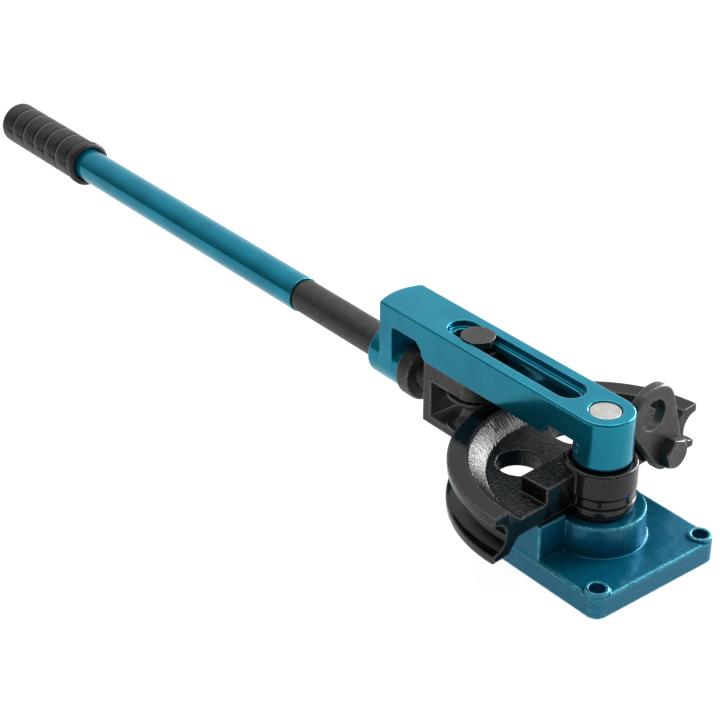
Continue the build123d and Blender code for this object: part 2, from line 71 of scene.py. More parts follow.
MM = 0.001
TEAL = (0.001, 0.278, 0.388, 1)
# Paler teal for the edges: thin enamel and a painted highlight.
TEAL_THIN_AND_HIGHLIGHT = (0.20, 0.66, 0.76, 1)
# A deeper teal: the base's own colour, its drifting tone, and the painted shade in corners.
TEAL_DEEP = (0.001, 0.160, 0.262, 1)
BASE_GRID = 0.8 * MM
BASE_EDGE = 1.6 * MM
SAND_LUMP = 11 * MM
SAND_DEPTH = 0.05 * MM
FLAT_FOOT = 2 * MM


def points_of(mesh):
    """The mesh's points as an array, one row each."""
    at = np.empty(3 * len(mesh.vertices))
    mesh.vertices.foreach_get("co", at)
    return at.reshape(-1, 3)


def around_each(mesh, values):
    """For each point, the mean of the values at the points it shares an edge with."""
    pairs = np.empty(2 * len(mesh.edges), int)
    mesh.edges.foreach_get("vertices", pairs)
    a, b = pairs.reshape(-1, 2).T
    here, there = np.concatenate([a, b]), np.concatenate([b, a])
    count = np.maximum(np.bincount(here, minlength=len(values)), 1)
    columns = np.atleast_2d(values.T)
    means = [np.bincount(here, weights=c[there], minlength=len(values)) / count for c in columns]
    return np.squeeze(np.array(means).T)


def mark(mesh, name, values):
    """Keeps a number on each point, for the finish to read."""
    layer = mesh.attributes.new(name, "FLOAT", "POINT")
    layer.data.foreach_set("value", np.ascontiguousarray(values, np.float32))


def mark_edges(mesh, radius):
    """Marks how sharply each point stands out as an edge, and how deep it lies in a corner."""
    at = points_of(mesh)
    outward = np.empty(3 * len(at))
    mesh.vertices.foreach_get("normal", outward)
    outward = outward.reshape(-1, 3)
    a, b = at[mesh.edges[0].vertices[0]], at[mesh.edges[0].vertices[1]]
    spacing = max(np.linalg.norm(a - b), 0.3 * MM)
    bulge = ((at - around_each(mesh, at)) * outward).sum(1) / spacing**2
    for _ in range(2):
        bulge = (bulge + around_each(mesh, bulge)) / 2
    mark(mesh, "edge", np.clip(bulge * 4 * radius, 0, 1))
    mark(mesh, "corner", np.clip(-bulge * 4 * radius, 0, 1))


def waves(at, length, seed):
    """Smooth unevenness between -1 and 1 over an array of points, with about that wavelength."""
    draw = np.random.RandomState(seed)
    total = np.zeros(len(at))
    for _ in range(14):
        way = draw.normal(size=3)
        way *= draw.uniform(0.6, 1.5) / np.linalg.norm(way)
        total += np.sin(at @ way * 2 * math.pi / length + draw.uniform(0, 2 * math.pi))
    return total / 5


def casting(node, grid, softening, turned=0.0):
    """A casting's skin: the CAD solid's form on an even grid, its edges and corners softened as a
    sand mould leaves them. The grid is laid square to a solid that stands turned on its axis."""
    form = bmesh.new()
    form.from_mesh(frame["nodes"][node].data)
    bmesh.ops.remove_doubles(form, verts=form.verts, dist=1e-6)
    mesh = bpy.data.meshes.new(node + "_skin")
    form.to_mesh(mesh)
    form.free()
    mesh.materials.clear()
    mesh.transform(Matrix.Rotation(-turned, 4, "Z"))
    blank = bpy.data.objects.new(node + "_blank", mesh)
    scene.collection.objects.link(blank)
    skin = blank.modifiers.new("skin", "REMESH")
    skin.mode = "VOXEL"
    skin.voxel_size = grid
    soft = blank.modifiers.new("soft", "SMOOTH")
    soft.factor = 0.5
    soft.iterations = softening
    drawn = blank.evaluated_get(bpy.context.evaluated_depsgraph_get())
    mesh = bpy.data.meshes.new_from_object(drawn)
    bpy.data.objects.remove(blank)
    mesh.transform(Matrix.Rotation(turned, 4, "Z"))
    mesh.polygons.foreach_set("use_smooth", np.ones(len(mesh.polygons), bool))
    piece = bpy.data.objects.new(node + "_casting", mesh)
    scene.collection.objects.link(piece)
    return piece


def push_out(mesh, depths):
    """Moves each point along its own normal."""
    outward = np.empty(3 * len(mesh.vertices))
    mesh.vertices.foreach_get("normal", outward)
    at = points_of(mesh) + outward.reshape(-1, 3) * np.asarray(depths)[:, None]
    mesh.vertices.foreach_set("co", at.ravel())
    mesh.update()


class Finish:
    """A procedural finish being mixed: its nodes, its surface shader and the piece's own space."""

    def __init__(self, name):
        self.material = bpy.data.materials.new(name)
        self.material.use_nodes = True
        self.nodes = self.material.node_tree.nodes
        self.links = self.material.node_tree.links
        self.shader = self.nodes["Principled BSDF"]
        self.place = self.nodes.new("ShaderNodeTexCoord").outputs["Object"]

    def grain(self, size, detail=3.0, stretch=(1, 1, 1)):
        """Noise whose spots are about that size, in metres, drawn out along an axis if asked."""
        spread = self.nodes.new("ShaderNodeMapping")
        spread.inputs["Scale"].default_value = stretch
        noise = self.nodes.new("ShaderNodeTexNoise")
        noise.inputs["Scale"].default_value = 1 / size
        noise.inputs["Detail"].default_value = detail
        self.links.new(self.place, spread.inputs["Vector"])
        self.links.new(spread.outputs["Vector"], noise.inputs["Vector"])
        return noise.outputs["Fac"]

    def marked(self, name):
        """A number kept on the mesh's points."""
        read = self.nodes.new("ShaderNodeAttribute")
        read.attribute_name = name
        return read.outputs["Fac"]

    def between(self, value, low, high, out_low=0.0, out_high=1.0):
        """Stretches the part of a value from low to high over the range asked for."""
        ramp = self.nodes.new("ShaderNodeMapRange")
        for socket, number in zip(ramp.inputs[1:5], (low, high, out_low, out_high)):
            socket.default_value = number
        self.links.new(value, ramp.inputs["Value"])
        return ramp.outputs["Result"]

    def drift(self, size, low, high, detail=4):
        """A value that wanders between two numbers, over spots of about that size."""
        return self.between(self.grain(size, detail), 0.3, 0.7, low, high)

    def maths(self, how, a, b):
        """Two values combined as a Math node does."""
        node = self.nodes.new("ShaderNodeMath")
        node.operation = how
        for socket, value in zip(node.inputs, (a, b)):
            if isinstance(value, (int, float)):
                socket.default_value = value
            else:
                self.links.new(value, socket)
        return node.outputs["Value"]

    def tint(self, share, under, over):
        """One colour laid over another by a share; a colour is four numbers or a socket."""
        mix = self.nodes.new("ShaderNodeMix")
        mix.data_type = "RGBA"
        self.links.new(share, mix.inputs["Factor"])
        for socket, colour in ((mix.inputs["A"], under), (mix.inputs["B"], over)):
            if isinstance(colour, tuple):
                socket.default_value = colour
            else:
                self.links.new(colour, socket)
        return mix.outputs["Result"]

    def raised(self, height, depth, onto=None):
        """Relief of that depth in metres, on top of any relief there is."""
        bump = self.nodes.new("ShaderNodeBump")
        bump.inputs["Strength"].default_value = 1.0
        bump.inputs["Distance"].default_value = depth
        self.links.new(height, bump.inputs["Height"])
        if onto is not None:
            self.links.new(onto, bump.inputs["Normal"])
        return bump.outputs["Normal"]

    def feed(self, **sockets):
        """Joins sockets of the surface shader, named with _ for a space."""
        for name, source in sockets.items():
            self.links.new(source, self.shader.inputs[name.replace("_", " ")])


def teal_enamel(name, sand_size, sand_depth, wear_and_highlight, gloss=(0.12, 0.22), flake=0.55, body=TEAL):
    """Teal enamel over iron: colour that drifts a little, paler on the edges for thin enamel and a
    painted highlight, darker in the corners as painted shade, with a soft orange peel over whatever
    sand grain the casting has."""
    mix = Finish(name)
    cloud = mix.drift(30 * MM, 0.0, 0.5, 3)
    colour = mix.tint(cloud, body, TEAL_DEEP)
    edge_patches = mix.between(mix.grain(2.2 * MM, 4), 0.38, 0.62, 0.25, 1.0)
    # Edges painted paler: partly thin enamel, partly a painted highlight along the rounded edge.
    worn_and_lit_edge = mix.maths("MULTIPLY", mix.maths("MULTIPLY", mix.marked("edge"), edge_patches), wear_and_highlight)
    colour = mix.tint(worn_and_lit_edge, colour, TEAL_THIN_AND_HIGHLIGHT)
    # Corners painted darker: painted shade where the casting turns inward.
    corner_shade = mix.maths("MULTIPLY", mix.marked("corner"), 0.5)
    colour = mix.tint(corner_shade, colour, TEAL_DEEP)
    relief = mix.raised(mix.grain(sand_size, 4), sand_depth)
    relief = mix.raised(mix.grain(1.3 * MM, 1), 0.012 * MM, relief)
    rough = mix.drift(9 * MM, *gloss)
    mix.feed(Base_Color=colour, Normal=relief, Roughness=rough)
    mix.shader.inputs["Metallic"].default_value = flake
    mix.shader.inputs["Specular IOR Level"].default_value = 0.2
    mix.shader.inputs["Coat Weight"].default_value = 0.25
    mix.shader.inputs["Coat Roughness"].default_value = 0.05
    return mix.material


base = casting("base_plate", BASE_GRID, 5)
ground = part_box("base_plate")[0].z
skin = points_of(base.data)
above_foot = np.clip((skin[:, 2] - ground) / FLAT_FOOT, 0, 1)
push_out(base.data, (waves(skin, SAND_LUMP, 3) - 1.4) * SAND_DEPTH * above_foot)
mark_edges(base.data, BASE_EDGE)
base.data.materials.append(teal_enamel(
    "teal_enamel_sand_cast", sand_size=1.9 * MM, sand_depth=0.13 * MM, wear_and_highlight=0.55,
    gloss=(0.24, 0.36), flake=0.40, body=TEAL_DEEP,
))
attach(base, "base")
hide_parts("base_plate")

# ---------------------------------------------------------------------------------------------
# Main shaft. A ground steel bar, 25 mm across, with a foot let into the base from below. Only its
# sawn and faced top end shows, bare metal with fine turning marks, a little below the arm's top.

STEEL_BARE = (0.56, 0.545, 0.53, 1)
STEEL_BARE_DULL = (0.47, 0.455, 0.44, 1)
STEEL_POLISHED_AND_HIGHLIGHT = (0.8, 0.79, 0.78, 1)
STEEL_OILED = (0.03, 0.029, 0.028, 1)
STEEL_OILED_DULL = (0.015, 0.0145, 0.014, 1)
SHAFT_RADIUS = 12.5 * MM
SHAFT_FOOT_HEIGHT = 8 * MM
SHAFT_FOOT_EDGE = 0.6 * MM
SEGMENTS = 120
ARC_STEPS = 5
ON_AXIS = 1e-7


def rounded(outline, closed):
    """An outline of (radius, height, rounding) corners with each corner turned into a small arc.
    Gives (radius, height, on an edge) points, with a plain point just clear of every arc."""
    spots = []
    count = len(outline)
    for i, (r, h, rounding) in enumerate(outline):
        inner = closed or 0 < i < count - 1
        if not inner or rounding <= 0:
            spots.append((r, h, 0.0))
            continue
        here = Vector((r, h))
        back = Vector(outline[i - 1][:2]) - here
        ahead = Vector(outline[(i + 1) % count][:2]) - here
        bend = back.angle(ahead)
        reach = min(rounding / math.tan(bend / 2), 0.45 * back.length, 0.45 * ahead.length)
        radius = reach * math.tan(bend / 2)
        inward = (back.normalized() + ahead.normalized()).normalized()
        middle = here + inward * (radius / math.sin(bend / 2))
        start, end = here + back.normalized() * reach, here + ahead.normalized() * reach
        a, b = start - middle, end - middle
        sweep = math.pi - bend
        clear_by = min(0.5 * MM, 0.04 * back.length, 0.04 * ahead.length)
        spots.append((*(start + back.normalized() * clear_by), 0.0))
        for k in range(ARC_STEPS + 1):
            t = k / ARC_STEPS
            turn = (a * math.sin((1 - t) * sweep) + b * math.sin(t * sweep)) / math.sin(sweep)
            spots.append((*(middle + turn), 1.0 - 0.6 * abs(2 * t - 1)))
        spots.append((*(end + ahead.normalized() * clear_by), 0.0))
    return spots


def swept(name, rows, angles, place, closed):
    """A piece swept round its own z. Each row gives its radius and height at every angle, and how
    much it counts as an edge; the last row joins the first if the outline is closed."""
    around = len(angles)
    form = bmesh.new()
    on_edge = form.verts.layers.float.new("edge")
    rings = []
    for r, h, edge in rows:
        if r.max() < ON_AXIS:
            ring = [form.verts.new((0, 0, h[0]))] * around
        else:
            ring = [form.verts.new(p) for p in zip(r * np.cos(angles), r * np.sin(angles), h)]
        for vert in set(ring):
            vert[on_edge] = edge
        rings.append(ring)
    if closed:
        rings.append(rings[0])
    for low, high in zip(rings, rings[1:]):
        for k in range(around):
            after = (k + 1) % around
            corners = list(dict.fromkeys([low[k], low[after], high[after], high[k]]))
            if len(corners) > 2:
                form.faces.new(corners).smooth = True
    bmesh.ops.recalc_face_normals(form, faces=form.faces)
    mesh = bpy.data.meshes.new(name)
    form.to_mesh(mesh)
    form.free()
    mesh.transform(place)
    piece = bpy.data.objects.new(name, mesh)
    scene.collection.objects.link(piece)
    return piece


def turned(name, outline, place, closed=False, segments=SEGMENTS, warp=None):
    """A piece turned on a lathe about its own z: a rounded outline swept round. Place puts it in
    the object. Warp may shift the swept points, given their radius, height and angle."""
    spots = np.array(rounded(outline, closed))
    angles = np.linspace(0, 2 * math.pi, segments, endpoint=False)
    r, angle = np.meshgrid(spots[:, 0], angles, indexing="ij")
    h = np.meshgrid(spots[:, 1], angles, indexing="ij")[0]
    if warp is not None:
        r, h = warp(r, h, angle)
    return swept(name, zip(r, h, spots[:, 2]), angles, place, closed)


def bare_steel(name, colour=STEEL_BARE, dull=STEEL_BARE_DULL, mark_size=0.35 * MM):
    """Turned bright steel: fine rings left by the tool, faint stains, edges painted brighter, partly polish and
    partly a painted highlight.
    """
    mix = Finish(name)
    rings = mix.grain(mark_size, 2, (1, 1, 0.02))
    stain = mix.between(mix.grain(6 * MM, 5), 0.42, 0.68)
    shade = mix.tint(stain, colour, dull)
    # Edges painted brighter: partly polish, partly a painted highlight.
    shade = mix.tint(mix.maths("MULTIPLY", mix.marked("edge"), 0.5), shade, STEEL_POLISHED_AND_HIGHLIGHT)
    relief = mix.raised(rings, 0.006 * MM)
    rough = mix.drift(2.5 * MM, 0.30, 0.46)
    mix.feed(Base_Color=shade, Normal=relief, Roughness=rough)
    mix.shader.inputs["Metallic"].default_value = 0.75
    return mix.material


shaft_low, shaft_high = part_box("main_shaft")
shaft_foot = (shaft_high.x - shaft_low.x) / 2
shaft_outline = [
    (0, shaft_low.z, 0),
    (shaft_foot, shaft_low.z, SHAFT_FOOT_EDGE),
    (shaft_foot, shaft_low.z + SHAFT_FOOT_HEIGHT, SHAFT_FOOT_EDGE),
    (SHAFT_RADIUS, shaft_low.z + SHAFT_FOOT_HEIGHT, 0),
    (SHAFT_RADIUS, shaft_high.z, 0.7 * MM),
    (0, shaft_high.z, 0),
]
shaft = turned("main_shaft_bar", shaft_outline, Matrix.Identity(4))
shaft.data.materials.append(bare_steel("ground_steel"))
shaft.data.materials.append(bare_steel("oiled_steel", STEEL_OILED, STEEL_OILED_DULL))
for face in shaft.data.polygons:
    faced_end = face.normal.z > 0.3 and face.center.z > shaft_high.z - 2 * MM
    face.material_index = 0 if faced_end else 1
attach(shaft, "base")
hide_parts("main_shaft")

# ---------------------------------------------------------------------------------------------
# Dowel. A short ground steel pin pressed into matching holes in the base and the die, well off the
# shaft's axis. It keeps the die from turning on the base when a tube is pulled round it.

dowel_low, dowel_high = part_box("die_dowel")
dowel_middle = (dowel_low + dowel_high) / 2
dowel_radius = (dowel_high.x - dowel_low.x) / 2
dowel_outline = [
    (0, dowel_low.z, 0),
    (dowel_radius, dowel_low.z, 0.5 * MM),
    (dowel_radius, dowel_high.z, 0.5 * MM),
    (0, dowel_high.z, 0),
]
dowel_place = Matrix.Translation((dowel_middle.x, dowel_middle.y, 0))
dowel = turned("dowel_pin", dowel_outline, dowel_place, segments=48)
dowel.data.materials.append(bpy.data.materials["ground_steel"])
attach(dowel, "base")
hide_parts("die_dowel")

# ---------------------------------------------------------------------------------------------
# Bending die. A half-round iron casting with the tube's groove round its rim, a dished web with
# two large holes, ribs along the cut face and a hub on the shaft. It is gloss black enamel: smooth
# on the ground rim, groove and cut face, lumpy where the sand left it, filed rays on the dish.

BLACK = (0.0020, 0.0022, 0.0025, 1)
BLACK_CLOUD = (0.0045, 0.0048, 0.0052, 1)
BLACK_RUBBED_AND_HIGHLIGHT = (0.11, 0.11, 0.112, 1)
DIE_GRID = 0.7 * MM
DIE_EDGE = 1.2 * MM
DISH_OUTER = 104.5 * MM
DISH_INNER = 90 * MM
DISH_FLOOR = 72.5 * MM
HUB_SIDE = 28.8 * MM
SOFT_STEP = 2 * MM
RAY_COUNTS = (113, 151, 187, 229, 281)
RAY_DEPTH = 0.05 * MM
LUMP_DEPTH = 0.10 * MM
hook_hinge = joints["hook_swing"]
cut_out = -Vector(hook_hinge["axis"])
cut_along = Vector((-cut_out.y, cut_out.x, 0))
die_turn = math.atan2(cut_out.y, cut_out.x)

die = casting("bending_die", DIE_GRID, 4, die_turn)
skin = points_of(die.data)
radius = np.hypot(skin[:, 0], skin[:, 1])
bearing = np.arctan2(skin[:, 1], skin[:, 0])
cut_depth = skin @ np.array(cut_out)


def fade(values, edge):
    """0 below an edge and 1 above it, with a soft step between."""
    return np.clip((values - edge) / SOFT_STEP + 0.5, 0, 1)


# The dish is filed, the rim, cut face and hub side are ground, and the rest stays as it was cast.
in_dish = fade(radius, DISH_INNER + 1 * MM) * fade(-radius, -DISH_OUTER + 1 * MM)
in_dish *= fade(skin[:, 2], DISH_FLOOR + 1 * MM)
ground_off = fade(radius, DISH_OUTER - 0.5 * MM)
ground_off = np.maximum(ground_off, fade(cut_depth, -4 * MM))
ground_off = np.maximum(ground_off, fade(-radius, -HUB_SIDE - 1.5 * MM))
rough_cast = (1 - ground_off) * (1 - in_dish)
rays = np.zeros(len(skin))
draw = np.random.RandomState(8)
for count in RAY_COUNTS:
    rays += np.sin(bearing * count + draw.uniform(0, 6.3) + radius * draw.uniform(-60, 60))
lumps = 0.6 * waves(skin, 8 * MM, 5) + waves(skin, 3.6 * MM, 6)
sunk_rays = in_dish * (rays / len(RAY_COUNTS) - 0.8) * RAY_DEPTH
push_out(die.data, rough_cast * (lumps - 1.5) * LUMP_DEPTH + sunk_rays)
mark_edges(die.data, DIE_EDGE)
mark(die.data, "rough_cast", rough_cast)
mark(die.data, "dish", in_dish)


def black_enamel(name):
    """Gloss black enamel, smooth where the casting was ground and lumpy where it wasn't, with
    close rays round the dish and a grey line along the edges, partly rubbed and partly a painted
    highlight."""
    mix = Finish(name)
    edge_patches = mix.between(mix.grain(2.0 * MM, 4), 0.36, 0.64, 0.2, 1.0)
    # Grey line along the edges: partly rubbed enamel, partly a painted highlight.
    worn_and_lit_edge = mix.maths("MULTIPLY", mix.maths("MULTIPLY", mix.marked("edge"), edge_patches), 0.95)
    colour = mix.tint(mix.between(mix.grain(14 * MM), 0.35, 0.65), BLACK, BLACK_CLOUD)
    colour = mix.tint(worn_and_lit_edge, colour, BLACK_RUBBED_AND_HIGHLIGHT)
    cast = mix.maths("MULTIPLY", mix.grain(1.7 * MM, 4), mix.marked("rough_cast"))
    relief = mix.raised(cast, 0.60 * MM)
    split = mix.nodes.new("ShaderNodeSeparateXYZ")
    mix.links.new(mix.place, split.inputs["Vector"])
    round_about = mix.maths("ARCTAN2", split.outputs["Y"], split.outputs["X"])
    ray_place = mix.nodes.new("ShaderNodeCombineXYZ")
    mix.links.new(mix.maths("MULTIPLY", round_about, 0.1), ray_place.inputs["X"])
    mix.links.new(mix.maths("MULTIPLY", split.outputs["Z"], 0.12), ray_place.inputs["Z"])
    ray_noise = mix.nodes.new("ShaderNodeTexNoise")
    ray_noise.inputs["Scale"].default_value = 900
    ray_noise.inputs["Detail"].default_value = 3
    mix.links.new(ray_place.outputs["Vector"], ray_noise.inputs["Vector"])
    filed = mix.maths("MULTIPLY", ray_noise.outputs["Fac"], mix.marked("dish"))
    relief = mix.raised(filed, 0.30 * MM, relief)
    relief = mix.raised(mix.grain(1.2 * MM, 1), 0.008 * MM, relief)
    rough = mix.drift(8 * MM, 0.07, 0.15)
    rough = mix.maths("ADD", rough, mix.maths("MULTIPLY", mix.marked("dish"), 0.14))
    mix.feed(Base_Color=colour, Normal=relief, Roughness=rough)
    mix.shader.inputs["IOR"].default_value = 1.52
    return mix.material


die.data.materials.append(black_enamel("black_enamel_cast"))
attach(die, "base")
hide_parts("bending_die")

# ---------------------------------------------------------------------------------------------
# Pipe hook. A drop-forged steel eye, 9 mm thick, that swings on a bolt in the die's end face and
# takes the tube through its eye. Phosphated dark grey, with forging scale and edges painted lighter,
# partly rubbed wear and partly a painted highlight.

DARK = (0.072, 0.070, 0.068, 1)
DARK_RUBBED_AND_HIGHLIGHT = (0.24, 0.236, 0.232, 1)
DARK_OILED = (0.042, 0.041, 0.040, 1)
DARK_SPECK = (0.10, 0.098, 0.095, 1)
HOOK_GRID = 0.45 * MM
HOOK_EDGE = 1.4 * MM
FORGED_WAVE = 7 * MM
FORGED_DEPTH = 0.035 * MM


def dark_steel(name, scale_size, scale_depth, gloss):
    """Phosphated and oiled steel: dark grey, patchy, satin, with edges painted lighter, partly rubbed and partly a
    painted highlight.
    """
    mix = Finish(name)
    oil = mix.between(mix.grain(12 * MM, 5), 0.40, 0.66, 0.0, 0.6)
    colour = mix.tint(oil, DARK, DARK_OILED)
    speck = mix.between(mix.grain(0.9 * MM, 3), 0.55, 0.75, 0.0, 0.35)
    colour = mix.tint(speck, colour, DARK_SPECK)
    edge_patches = mix.between(mix.grain(1.8 * MM, 4), 0.36, 0.62, 0.2, 1.0)
    # Edges painted lighter: partly rubbed wear, partly a painted highlight.
    colour = mix.tint(mix.maths("MULTIPLY", mix.marked("edge"), edge_patches), colour, DARK_RUBBED_AND_HIGHLIGHT)
    relief = mix.raised(mix.grain(scale_size, 5), scale_depth)
    rough = mix.drift(5 * MM, *gloss)
    mix.feed(Base_Color=colour, Normal=relief, Roughness=rough)
    mix.shader.inputs["Metallic"].default_value = 0.35
    return mix.material


hook = casting("pipe_hook", HOOK_GRID, 7, die_turn)
skin = points_of(hook.data)
push_out(hook.data, (waves(skin, FORGED_WAVE, 11) - 1.2) * FORGED_DEPTH)
mark_edges(hook.data, HOOK_EDGE)
hook.data.materials.append(dark_steel("forged_scale", 2.4 * MM, 0.10 * MM, gloss=(0.34, 0.5)))
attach(hook, "hook")
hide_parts("pipe_hook")

# ---------------------------------------------------------------------------------------------
# Hook bolt and its washer. An M16 hexagon bolt screwed into the die's end face is the hook's
# pivot; a thin washer holds the hook clear of the casting. Black oxide, the head's corners turned.

HEX_FLATS = 24 * MM
HEX_COLUMNS = 180
BOLT_RADIUS = 8 * MM
BOLT_TIP = 1.2 * MM
BORE_PLAY = 0.05 * MM
HOOK_THICKNESS = 9.1 * MM
HOOK_BOLT_HEAD = 10 * MM
HOOK_BOLT_SHANK = 34 * MM
HOOK_BOLT_SPIN = math.radians(42)
SPACER_THICKNESS = 1.7 * MM
SPACER_RADIUS = 14 * MM


def standing(at, upward, across):
    """A place for a turned piece: its z along upward and its x along across."""
    z = Vector(upward).normalized()
    x = Vector(across).normalized()
    return Matrix.Translation(Vector(at)) @ Matrix((x, z.cross(x), z)).transposed().to_4x4()


def hex_piece(name, place, flats, height, shank=None, hole=None, spin=0.0, land=0.47):
    """A hexagon bolt or nut: six flats with slightly rounded corners, the far face turned to a
    round land, and a shank below or a hole through. Spin is the first corner's bearing."""
    angles = np.linspace(0, 2 * math.pi, HEX_COLUMNS, endpoint=False)
    off_flat = np.abs((angles - spin) % (math.pi / 3) - math.pi / 6)
    side = flats / 2 / np.cos(off_flat)
    side = np.minimum(side, flats / 2 / math.cos(math.pi / 6) - 0.25 * MM)
    land = land * flats
    drop = np.maximum(side - land, 0) * 0.7
    full = np.ones(HEX_COLUMNS)
    # From the seat up the flats and over the turned corners to the end face.
    rows = [
        (side - 0.35 * MM, 0 * full, 0.4),
        (side - 0.1 * MM, 0.12 * MM * full, 1.0),
        (side, 0.45 * MM * full, 0.3),
        (side, height - drop - 0.9 * MM, 0.0),
        (side, height - drop - 0.35 * MM, 0.7),
        (side - 0.12 * MM, height - drop - 0.02 * MM, 1.0),
        ((side + land) / 2, height - drop / 2 + 0.02 * MM, 0.3),
        (land * full, height * full, 1.0),
        ((land - 0.4 * MM) * full, height * full, 0.3),
        ((land - 1.4 * MM) * full, height * full, 0.0),
    ]
    if hole is None:
        shank_rows = [
            (0 * full, -shank * full, 0.0),
            ((BOLT_RADIUS - BOLT_TIP) * full, -shank * full, 0.5),
            (BOLT_RADIUS * full, (BOLT_TIP - shank) * full, 0.5),
            (BOLT_RADIUS * full, -0.5 * MM * full, 0.0),
            ((BOLT_RADIUS + 0.4 * MM) * full, 0 * full, 0.0),
        ]
        rows = shank_rows + rows + [(0 * full, height * full, 0.0)]
    else:
        rows = [(hole * full, height * full, 0.6), (hole * full, 0 * full, 0.6)] + rows
    return swept(name, rows, angles, place, hole is not None)


def washer(name, node, thickness, outer, inner, place, body, finish, rounding=0.4 * MM):
    """A flat ring with eased edges, in place of a CAD node if one is named."""
    outline = [
        (inner, 0, rounding),
        (outer, 0, rounding),
        (outer, thickness, rounding),
        (inner, thickness, rounding),
    ]
    piece = turned(name, outline, place, closed=True, segments=96)
    piece.data.materials.append(finish)
    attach(piece, body)
    if node:
        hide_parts(node)


bolt_black = dark_steel("black_oxide_bolt", 1.1 * MM, 0.03 * MM, gloss=(0.22, 0.36))
hook_pivot = Vector(hook_hinge["pos_m"])
hook_face = hook_pivot + cut_out * HOOK_THICKNESS
hook_bolt = hex_piece("hook_bolt_m16", standing(hook_face, cut_out, cut_along), HEX_FLATS,
                      HOOK_BOLT_HEAD, HOOK_BOLT_SHANK, spin=HOOK_BOLT_SPIN)
hook_bolt.data.materials.append(bolt_black)
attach(hook_bolt, "base")
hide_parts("hook_bolt")
spacer_at = hook_pivot - cut_out * 1.8 * MM
washer("hook_spacer", "hook_washer", SPACER_THICKNESS, SPACER_RADIUS, BOLT_RADIUS + 0.2 * MM,
       standing(spacer_at, cut_out, cut_along), "base", bolt_black)

# ---------------------------------------------------------------------------------------------
# Arm's thrust washer and bush. A steel washer lies between the die's hub and the arm, and a
# bronze bush pressed into the arm's boss turns on the shaft.

BRONZE = (0.52, 0.34, 0.15, 1)
BRONZE_DULL = (0.30, 0.19, 0.09, 1)
washer_low, washer_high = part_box("arm_washer")
washer("arm_thrust_washer", "arm_washer", washer_high.z - washer_low.z, washer_high.x,
       SHAFT_RADIUS + 0.2 * MM, Matrix.Translation((0, 0, washer_low.z)), "base",
       bolt_black, 0.2 * MM)
bronze = bare_steel("bearing_bronze", BRONZE, BRONZE_DULL)
bush_low, bush_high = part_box("arm_bush")
washer("arm_bronze_bush", "arm_bush", bush_high.z - bush_low.z, bush_high.x,
       SHAFT_RADIUS + BORE_PLAY, Matrix.Translation((0, 0, bush_low.z)), "arm", bronze)

# ---------------------------------------------------------------------------------------------
# Lever arm. A steel casting like an upside-down trough with a slotted top, a round boss that
# turns on the shaft and a leg at the back whose boss holds the feed nut. It is machined flatter
# than the base before the same teal enamel goes on, so it shines and its edges are crisper.

ARM_GRID = 0.7 * MM
ARM_EDGE = 1.6 * MM
ARM_WAVE = 26 * MM
ARM_WAVE_DEPTH = 0.018 * MM
arm = casting("lever_arm", ARM_GRID, 4)
skin = points_of(arm.data)
push_out(arm.data, (waves(skin, ARM_WAVE, 21) - 1.0) * ARM_WAVE_DEPTH)
mark_edges(arm.data, ARM_EDGE)
arm.data.materials.append(teal_enamel(
    "teal_enamel_smooth", sand_size=3.0 * MM, sand_depth=0.02 * MM, wear_and_highlight=0.45,
))
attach(arm, "arm")
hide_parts("lever_arm")

# ---------------------------------------------------------------------------------------------
# Feed nut and its grub screw. A flanged steel nut let into the rear boss from inside, so that the
# roller's push seats it, and a socket grub screw from below that locks it.

handle_hinge = joints["handle_turn"]
axis_at = Vector(handle_hinge["pos_m"])


def on_handle(x):
    """A place on the handle's axis, its z towards the die."""
    return standing((x, axis_at.y, axis_at.z), (1, 0, 0), (0, 1, 0))


SCREW_RADIUS = 15.35 * MM
NUT_BORE = SCREW_RADIUS + 0.1 * MM
NUT_BARREL = 18.5 * MM
NUT_FLANGE_THICKNESS = 14.1 * MM
nut_low, nut_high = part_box("feed_nut")
nut_flange = (nut_high.y - nut_low.y) / 2
nut_length = nut_high.x - nut_low.x
nut_outline = [
    (NUT_BORE, 0, 0.8 * MM),
    (NUT_BARREL, 0, 0.5 * MM),
    (NUT_BARREL, nut_length - NUT_FLANGE_THICKNESS, 0),
    (nut_flange, nut_length - NUT_FLANGE_THICKNESS, 1.6 * MM),
    (nut_flange, nut_length, 1.9 * MM),
    (NUT_BORE, nut_length, 1.0 * MM),
]
turned_black = dark_steel("phosphated_turned", 0.7 * MM, 0.03 * MM, gloss=(0.34, 0.5))
nut = turned("flanged_feed_nut", nut_outline, on_handle(nut_low.x), closed=True)
nut.data.materials.append(turned_black)
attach(nut, "arm")
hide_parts("feed_nut")

grub_low, grub_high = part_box("nut_grub_screw")
grub_middle = (grub_low + grub_high) / 2
grub_radius = (grub_high.y - grub_low.y) / 2
SOCKET = 2.2 * MM
SOCKET_DEPTH = 4 * MM
grub_outline = [
    (0, SOCKET_DEPTH, 0),
    (SOCKET, SOCKET_DEPTH, 0),
    (SOCKET, 0, 0.2 * MM),
    (grub_radius, 0, 0.5 * MM),
    (grub_radius, grub_high.z - grub_low.z, 0.5 * MM),
    (0, grub_high.z - grub_low.z, 0),
]


def six_sided(r, h, angle):
    """Turns the socket's round wall into six flats."""
    wall = SOCKET * 0.92 / np.cos((angle + math.pi / 6) % (math.pi / 3) - math.pi / 6)
    return np.where((r > 0) & (r < SOCKET * 1.01), wall, r), h


grub_place = Matrix.Translation((grub_middle.x, grub_middle.y, grub_low.z))
grub = turned("locking_grub_screw", grub_outline, grub_place, segments=60, warp=six_sided)
grub.data.materials.append(bolt_black)
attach(grub, "arm")
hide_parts("nut_grub_screw")

# ---------------------------------------------------------------------------------------------
# Roller bracket. A steel fork milled from bar and phosphated, open towards the die, with a guide
# block on top that slides in the arm's trough.

